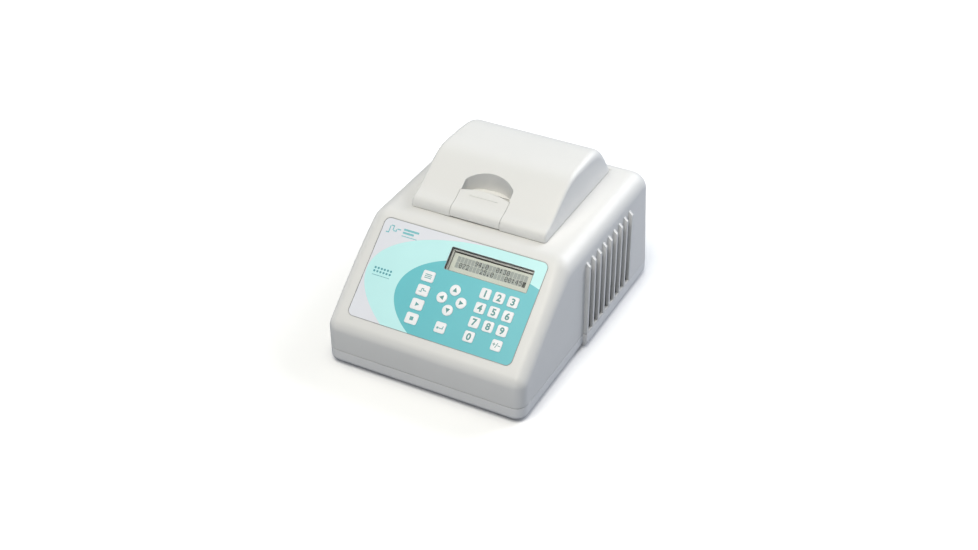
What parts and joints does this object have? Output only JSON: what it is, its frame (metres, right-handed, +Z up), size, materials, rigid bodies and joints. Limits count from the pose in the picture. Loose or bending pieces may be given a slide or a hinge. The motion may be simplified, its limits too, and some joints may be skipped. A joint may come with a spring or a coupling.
{
  "type": "thermal cycler",
  "caption": "Bench-top block heater with a hinged, latched heated lid over a well block, a sloping keypad panel with a character display, and vented flanks.",
  "frame": {"origin": "centre of the footprint, on the plane the feet rest on", "axes": "+X to the user's right, +Y from the front to the back, +Z up"},
  "size_m": [0.2194, 0.286, 0.1642],
  "materials": {
    "housing_plastic": "fine spark-textured warm white moulding",
    "lid_plastic": "smooth satin warm white moulding",
    "tray_plastic": "fine spark-textured warm white moulding",
    "overlay_film": "satin printed polyester film",
    "key_white": "satin white",
    "circuit_film": "amber polyester",
    "dome_steel": "thin snap domes",
    "clear_window": "clear acrylic",
    "frame_steel": "tinned steel frame",
    "display_glass": "grey-green liquid crystal glass",
    "circuit_board": "green solder mask",
    "zinc_steel": "bright zinc",
    "spring_steel": "oiled spring wire",
    "block_aluminium": "bright anodised",
    "sink_aluminium": "extruded, plain",
    "seal_silicone": "grey silicone",
    "ceramic_white": "alumina ceramic faces",
    "black_plastic": "black glass-filled nylon",
    "foot_rubber": "black rubber",
    "heater_orange": "silicone heater mat",
    "supply_steel": "galvanised sheet case",
    "liner_plastic": "heat-resistant off-white moulding"
  },
  "bodies": {
    "base": {"base_tray": "tray_plastic", "block_seal": "seal_silicone", "board_standoffs": "zinc_steel", "case_screws": "zinc_steel", "control_board": "circuit_board", "display_window": "clear_window", "fan_frame": "black_plastic", "heat_sink": "sink_aluminium", "hinge_brackets": "zinc_steel", "inner_screws": "zinc_steel", "key_domes": "dome_steel", "keypad_overlay": "overlay_film", "latch_striker": "zinc_steel", "lcd_bezel": "frame_steel", "lcd_board": "circuit_board", "lcd_glass": "display_glass", "membrane_circuit": "circuit_film", "peltier_modules": "ceramic_white", "power_inlet": "black_plastic", "power_supply": "supply_steel", "rubber_feet": "foot_rubber", "sample_block": "block_aluminium", "upper_housing": "housing_plastic"},
    "lid": {"lid_cover": "lid_plastic", "lid_liner": "liner_plastic", "lid_screws": "zinc_steel", "hinge_pin": "zinc_steel", "spring_plate": "zinc_steel", "plate_springs": "spring_steel", "latch_pin": "zinc_steel", "latch_spring": "spring_steel"},
    "heated_plate_body": {"heated_plate": "block_aluminium", "heater_mat": "heater_orange", "plate_studs": "zinc_steel"},
    "latch": {"latch_flap": "lid_plastic", "latch_hook": "zinc_steel"},
    "fan": {"fan_rotor": "black_plastic"},
    "rocker": {"power_rocker": "black_plastic"},
    "fuse_holder": {"fuse_drawer": "black_plastic"},
    "key_1_body": {"key_1": "key_white"},
    "key_2_body": {"key_2": "key_white"},
    "key_3_body": {"key_3": "key_white"},
    "key_4_body": {"key_4": "key_white"},
    "key_5_body": {"key_5": "key_white"},
    "key_6_body": {"key_6": "key_white"},
    "key_7_body": {"key_7": "key_white"},
    "key_8_body": {"key_8": "key_white"},
    "key_9_body": {"key_9": "key_white"},
    "key_0_body": {"key_0": "key_white"},
    "key_sign_body": {"key_sign": "key_white"},
    "key_f1_body": {"key_f1": "key_white"},
    "key_f2_body": {"key_f2": "key_white"},
    "key_f3_body": {"key_f3": "key_white"},
    "key_f4_body": {"key_f4": "key_white"},
    "key_enter_body": {"key_enter": "key_white"},
    "key_up_body": {"key_up": "key_white"},
    "key_down_body": {"key_down": "key_white"},
    "key_left_body": {"key_left": "key_white"},
    "key_right_body": {"key_right": "key_white"}
  },
  "joints": [
    {"name": "lid_hinge", "type": "hinge", "parent": "base", "child": "lid", "pos_m": [0, 0.118, 0.1271], "axis": [-1, 0, 0], "range_deg": [0, 85]},
    {"name": "plate_float", "type": "slide", "parent": "lid", "child": "heated_plate_body", "axis": [0, 0, 1], "range_m": [0, 0.002], "deforming": ["plate_springs"]},
    {"name": "latch_release", "type": "hinge", "parent": "lid", "child": "latch", "pos_m": [-0.0033, -0.027, 0.1285], "axis": [1, 0, 0], "range_deg": [0, 12]},
    {"name": "fan_spin", "type": "hinge", "parent": "base", "child": "fan", "pos_m": [0, 0.044, 0.0385], "axis": [0, 0, 1], "continuous": true},
    {"name": "power_switch", "type": "hinge", "parent": "base", "child": "rocker", "pos_m": [-0.042, 0.1377, 0.046], "axis": [1, 0, 0], "range_deg": [0, 16]},
    {"name": "fuse_drawer_slide", "type": "slide", "parent": "base", "child": "fuse_holder", "axis": [0, 1, 0], "range_m": [0, 0.02]},
    {"name": "key_1_press", "type": "slide", "parent": "base", "child": "key_1_body", "axis": [0, 0.6296, -0.7769], "range_m": [0, 0.0003]},
    {"name": "key_2_press", "type": "slide", "parent": "base", "child": "key_2_body", "axis": [0, 0.6296, -0.7769], "range_m": [0, 0.0003]},
    {"name": "key_3_press", "type": "slide", "parent": "base", "child": "key_3_body", "axis": [0, 0.6296, -0.7769], "range_m": [0, 0.0003]},
    {"name": "key_4_press", "type": "slide", "parent": "base", "child": "key_4_body", "axis": [0, 0.6296, -0.7769], "range_m": [0, 0.0003]},
    {"name": "key_5_press", "type": "slide", "parent": "base", "child": "key_5_body", "axis": [0, 0.6296, -0.7769], "range_m": [0, 0.0003]},
    {"name": "key_6_press", "type": "slide", "parent": "base", "child": "key_6_body", "axis": [0, 0.6296, -0.7769], "range_m": [0, 0.0003]},
    {"name": "key_7_press", "type": "slide", "parent": "base", "child": "key_7_body", "axis": [0, 0.6296, -0.7769], "range_m": [0, 0.0003]},
    {"name": "key_8_press", "type": "slide", "parent": "base", "child": "key_8_body", "axis": [0, 0.6296, -0.7769], "range_m": [0, 0.0003]},
    {"name": "key_9_press", "type": "slide", "parent": "base", "child": "key_9_body", "axis": [0, 0.6296, -0.7769], "range_m": [0, 0.0003]},
    {"name": "key_0_press", "type": "slide", "parent": "base", "child": "key_0_body", "axis": [0, 0.6296, -0.7769], "range_m": [0, 0.0003]},
    {"name": "key_sign_press", "type": "slide", "parent": "base", "child": "key_sign_body", "axis": [0, 0.6296, -0.7769], "range_m": [0, 0.0003]},
    {"name": "key_f1_press", "type": "slide", "parent": "base", "child": "key_f1_body", "axis": [0, 0.6296, -0.7769], "range_m": [0, 0.0003]},
    {"name": "key_f2_press", "type": "slide", "parent": "base", "child": "key_f2_body", "axis": [0, 0.6296, -0.7769], "range_m": [0, 0.0003]},
    {"name": "key_f3_press", "type": "slide", "parent": "base", "child": "key_f3_body", "axis": [0, 0.6296, -0.7769], "range_m": [0, 0.0003]},
    {"name": "key_f4_press", "type": "slide", "parent": "base", "child": "key_f4_body", "axis": [0, 0.6296, -0.7769], "range_m": [0, 0.0003]},
    {"name": "key_enter_press", "type": "slide", "parent": "base", "child": "key_enter_body", "axis": [0, 0.6296, -0.7769], "range_m": [0, 0.0003]},
    {"name": "key_up_press", "type": "slide", "parent": "base", "child": "key_up_body", "axis": [0, 0.6296, -0.7769], "range_m": [0, 0.0003]},
    {"name": "key_down_press", "type": "slide", "parent": "base", "child": "key_down_body", "axis": [0, 0.6296, -0.7769], "range_m": [0, 0.0003]},
    {"name": "key_left_press", "type": "slide", "parent": "base", "child": "key_left_body", "axis": [0, 0.6296, -0.7769], "range_m": [0, 0.0003]},
    {"name": "key_right_press", "type": "slide", "parent": "base", "child": "key_right_body", "axis": [0, 0.6296, -0.7769], "range_m": [0, 0.0003]}
  ]
}
